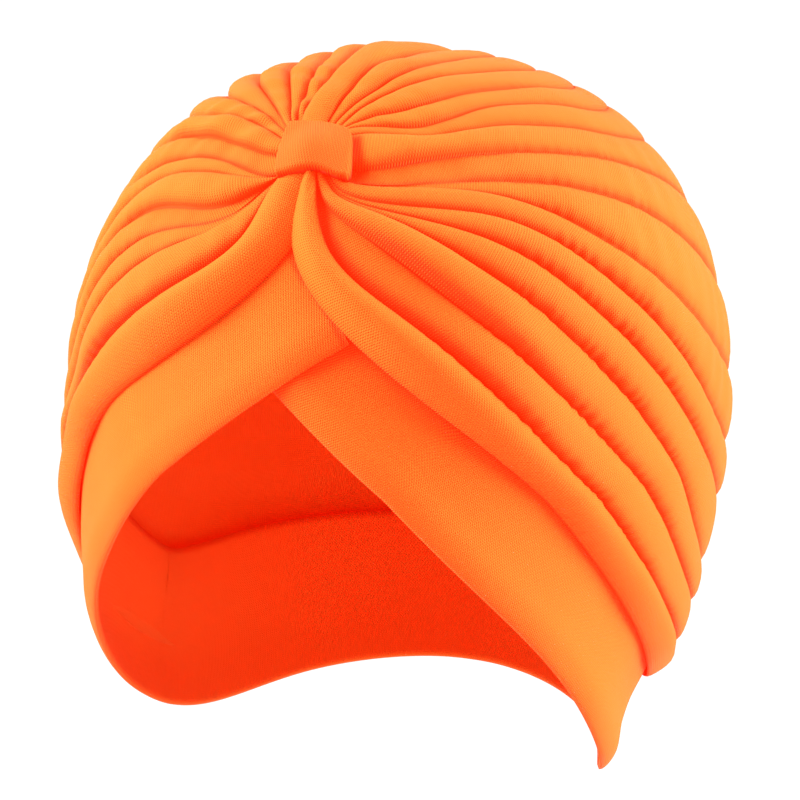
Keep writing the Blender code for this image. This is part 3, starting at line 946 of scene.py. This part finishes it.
def make_strap(material):
    """The strap over the gather: nearly flat, with rounded corners, tucked in at its sides."""
    across = np.linspace(-1.0, 1.0, STRAP_COLUMNS + 1)[None, :]
    upward = np.linspace(-1.0, 1.0, STRAP_ROWS + 1)[:, None]
    across, upward = np.broadcast_arrays(across, upward)
    lower = (1.0 - upward) / 2.0
    square = 1.0 - CORNER_ROUND * (np.abs(across) * np.abs(upward)) ** CORNER_POWER
    arch = STRAP_ARCH * (1.0 - across ** 2) * (1.0 - ARCH_LEAN * across) * lower
    ripple = STRAP_RIPPLE * np.sin(across * RIPPLE_WAVE[0] + RIPPLE_WAVE[1]) * lower
    bow = STRAP_BOW * across * (1.0 - upward ** 2)
    u = (across * square + bow + 1.0) / 2.0
    v = (upward * square + arch + ripple + 1.0) / 2.0
    corners = [head_direction(np.array(corner)) for corner in STRAP_CORNERS]
    low_right, low_left, high_left, high_right = corners
    low = low_right * (1.0 - u)[..., None] + low_left * u[..., None]
    high = high_right * (1.0 - u)[..., None] + high_left * u[..., None]
    directions = unit(low * (1.0 - v)[..., None] + high * v[..., None])
    ground = CROWN_FACE + band_step(directions) + gather_swell(directions) + GATHER_RISE
    drop = SIDE_TUCK * smooth(SIDE_TUCK_FROM, 1.0, np.abs(across)) ** SIDE_TUCK_POWER
    drop = drop + END_TUCK * smooth(END_TUCK_FROM, 1.0, np.abs(upward))
    ground = ground + STRAP_CROWN * (1.0 - across ** 2) - drop
    face = over_head(directions, ground + STRAP_CLEARANCE + STRAP_WALL)
    back = over_head(directions, ground - STRAP_SINK)
    rows, columns = face.shape[:2]
    offset = rows * columns
    faces = []
    for row in range(rows - 1):
        for column in range(columns - 1):
            loop = (row * columns + column, row * columns + column + 1,
                    (row + 1) * columns + column + 1, (row + 1) * columns + column)
            faces.append(loop)
            faces.append(tuple(offset + corner for corner in reversed(loop)))
    # Wall round the edge, from the face to the back.
    rim = list(range(columns - 1))
    rim += [row * columns + columns - 1 for row in range(rows - 1)]
    rim += [(rows - 1) * columns + column for column in range(columns - 1, 0, -1)]
    rim += [row * columns for row in range(rows - 1, 0, -1)]
    for first, second in zip(rim, rim[1:] + rim[:1]):
        faces.append((second, first, offset + first, offset + second))
    map_width, map_height = STRAP_MAP
    maps = np.stack([u * map_width + v * STRAP_MAP_LEAN, v * map_height], axis=-1).reshape(-1, 2)
    # Painted shade along the tucked edges of the face.
    sides, ends = smooth(SIDE_SHADE_FROM, 1.0, np.abs(across)), smooth(END_SHADE_FROM, 1.0, np.abs(upward))
    painted_face_shade = TUCK_PAINTED_SHADE * np.maximum(sides, ends).ravel()
    values = np.concatenate([painted_face_shade, np.full(offset, STRAP_BACK_PAINTED_SHADE)])
    vertices = np.concatenate([face.reshape(-1, 3), back.reshape(-1, 3)])
    return new_piece("knot_strap", vertices, faces, material, np.concatenate([maps, maps]), values)


class Wire:
    """A node socket on which plain arithmetic adds Math nodes."""

    def __init__(self, tree, socket):
        self.tree = tree
        self.socket = socket

    def maths(self, operation, *others):
        inputs = dict(enumerate([self, *others]))
        return add_node(self.tree, "ShaderNodeMath", {"operation": operation}, inputs)

    def __add__(self, other):
        return self.maths("ADD", other)

    __radd__ = __add__

    def __mul__(self, other):
        return self.maths("MULTIPLY", other)

    __rmul__ = __mul__

    def __sub__(self, other):
        return self.maths("SUBTRACT", other)

    def __rsub__(self, other):
        return add_node(self.tree, "ShaderNodeMath", {"operation": "SUBTRACT"}, {0: other, 1: self})


def add_node(tree, kind, settings, inputs, output=0):
    """A node with its settings and its socket values or links; gives one of its outputs as a wire."""
    node = tree.nodes.new(kind)
    for name, value in settings.items():
        setattr(node, name, value)
    for name, value in inputs.items():
        if isinstance(value, Wire):
            tree.links.new(value.socket, node.inputs[name])
        else:
            node.inputs[name].default_value = value
    return Wire(tree, node.outputs[output])


def mix_colours(tree, share, low, high):
    """A mix that goes from the low colour at 0 to the high one at 1."""
    settings = {"data_type": "RGBA", "clamp_factor": True}
    return add_node(tree, "ShaderNodeMix", settings, {0: share, 6: low, 7: high}, 2)


def jersey_material(name, light):
    """Knitted jersey: fine ribs and loops, painted shade and a painted red glow in the folds, and a soft
    fuzz.
    """
    material = bpy.data.materials.new(name)
    material.use_nodes = True
    tree = material.node_tree
    shader = tree.nodes["Principled BSDF"]
    cloth_map = add_node(tree, "ShaderNodeUVMap", {"uv_map": "cloth"}, {})
    along = add_node(tree, "ShaderNodeSeparateXYZ", {}, {0: cloth_map}, "X")
    across = Wire(tree, along.socket.node.outputs["Y"])
    ribs = (along * (2.0 * math.pi / RIB_PITCH)).maths("SINE")
    loops = (across * (2.0 * math.pi / LOOP_PITCH)).maths("SINE")
    knit = ribs * RIB_SHARE + ribs * loops * LOOP_SHARE
    place = add_node(tree, "ShaderNodeTexCoord", {}, {}, "Object")
    noise = {"Vector": place, "Scale": PATCH_SCALE, "Detail": PATCH_DETAIL}
    patches = add_node(tree, "ShaderNodeTexNoise", {}, noise, "Fac")
    painted_fold_shade = add_node(tree, "ShaderNodeAttribute", {"attribute_name": "painted_fold_shade"}, {}, "Fac")
    # The painted fold shade, the knit and the patches darken the colour towards the deep one.
    depth = painted_fold_shade * PAINTED_SHADE_TINT + knit * KNIT_TINT + (patches - 0.5) * PATCH_TINT
    colour = mix_colours(tree, depth, light, JERSEY_DEEP_TONE_AND_SHADE)
    # Painted glow: the folds give off red light, like light bounced in them.
    glow = mix_colours(tree, painted_fold_shade, NO_GLOW, FOLD_PAINTED_GLOW)
    relief = {"Strength": KNIT_BUMP, "Distance": KNIT_DEPTH, "Height": knit}
    bump = add_node(tree, "ShaderNodeBump", {}, relief, "Normal")
    for socket, wire in (("Base Color", colour), ("Emission Color", glow), ("Normal", bump)):
        tree.links.new(wire.socket, shader.inputs[socket])
    for socket, value in CLOTH_FINISH_AND_PAINTED_GLOW.items():
        shader.inputs[socket].default_value = value
    return material


def make_camera():
    """Camera of the photograph: a metre from the middle of the head, a little to the wearer's left."""
    turn, lift, roll = map(math.radians, (CAMERA_AZIMUTH, CAMERA_ELEVATION, CAMERA_ROLL))
    right = Vector((math.cos(turn), math.sin(turn), 0.0))
    up = Vector((-math.sin(turn) * math.sin(lift), math.cos(turn) * math.sin(lift), math.cos(lift)))
    back = Vector((math.sin(turn) * math.cos(lift), -math.cos(turn) * math.cos(lift), math.sin(lift)))
    rolled_right = right * math.cos(roll) + up * math.sin(roll)
    rolled_up = up * math.cos(roll) - right * math.sin(roll)
    place = back * CAMERA_DISTANCE + rolled_right * CAMERA_RIGHT + rolled_up * CAMERA_UP
    place = place - Vector((0.0, 0.0, SEAT_DEPTH))
    turned = Matrix((rolled_right, rolled_up, back)).transposed().to_4x4()
    data = bpy.data.cameras.new("camera")
    data.sensor_width = SENSOR_WIDTH
    data.lens = CAMERA_LENS
    data.clip_start, data.clip_end = CAMERA_RANGE
    camera = bpy.data.objects.new("camera", data)
    camera.matrix_world = Matrix.Translation(place) @ turned
    scene.collection.objects.link(camera)
    scene.camera = camera


def add_panel(name, place, power):
    """A soft white panel that faces the hat."""
    data = bpy.data.lights.new(name, "AREA")
    data.shape = "DISK"
    data.size = PANEL_SIZE
    data.energy = power
    lamp = bpy.data.objects.new(name, data)
    lamp.location = place
    aim = Vector(PANEL_AIM) - Vector(place)
    lamp.rotation_euler = aim.to_track_quat("-Z", "Y").to_euler()
    scene.collection.objects.link(lamp)


def make_floor():
    """A pale floor, far enough below to keep its shadow out of the photograph's frame."""
    bpy.ops.mesh.primitive_plane_add(size=FLOOR_SIZE, location=(0.0, 0.0, 0.0))
    floor = bpy.context.object
    floor.name = "floor"
    for vertex in floor.data.vertices:
        vertex.co.z = FLOOR_LEVEL
    material = bpy.data.materials.new("pale_floor")
    material.use_nodes = True
    shader = material.node_tree.nodes["Principled BSDF"]
    shader.inputs["Base Color"].default_value = FLOOR_COLOUR
    shader.inputs["Roughness"].default_value = FLOOR_ROUGHNESS
    floor.data.materials.append(material)


def make_world():
    """White all round and above, and darker towards the front, like a light tent with an open side."""
    world = bpy.data.worlds.new("studio")
    world.use_nodes = True
    scene.world = world
    tree = world.node_tree
    backdrop = tree.nodes["Background"]
    backdrop.inputs["Color"].default_value = WHITE
    place = add_node(tree, "ShaderNodeTexCoord", {}, {}, "Generated")
    facing = add_node(tree, "ShaderNodeVectorMath", {"operation": "DOT_PRODUCT"},
                      {0: place, 1: OPEN_SIDE}, "Value")
    light = add_node(tree, "ShaderNodeMapRange", {"interpolation_type": "SMOOTHSTEP"},
                     {"Value": facing, "From Min": OPEN_FROM, "From Max": OPEN_TO,
                      "To Min": WORLD_LIGHT, "To Max": OPEN_LIGHT})
    tree.links.new(light.socket, backdrop.inputs["Strength"])


make_camera()
pleated_jersey = jersey_material("pleated_jersey_look", JERSEY_LIGHT)
band_knit = jersey_material("band_knit_look", JERSEY_LIGHT)
loop_jersey = jersey_material("loop_jersey_look", STRAP_LIGHT)

crown_left = make_crown_half("crown_left", LEFT_SEAMS, LEFT_STRANDS, LEFT, pleated_jersey)
crown_right = make_crown_half("crown_right", RIGHT_SEAMS, RIGHT_STRANDS, RIGHT, pleated_jersey)
band = make_band(band_knit)
strap = make_strap(loop_jersey)
for half in (crown_left, crown_right):
    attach(half, "root")
    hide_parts("pleated_crown")
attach(band, "root")
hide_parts("brow_band")
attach(strap, "root")
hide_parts("knot_loop")

make_floor()
make_world()
for name, (place, power) in PANELS.items():
    add_panel(name, place, power)
scene.view_settings.view_transform = "Standard"

bpy.context.view_layer.update()
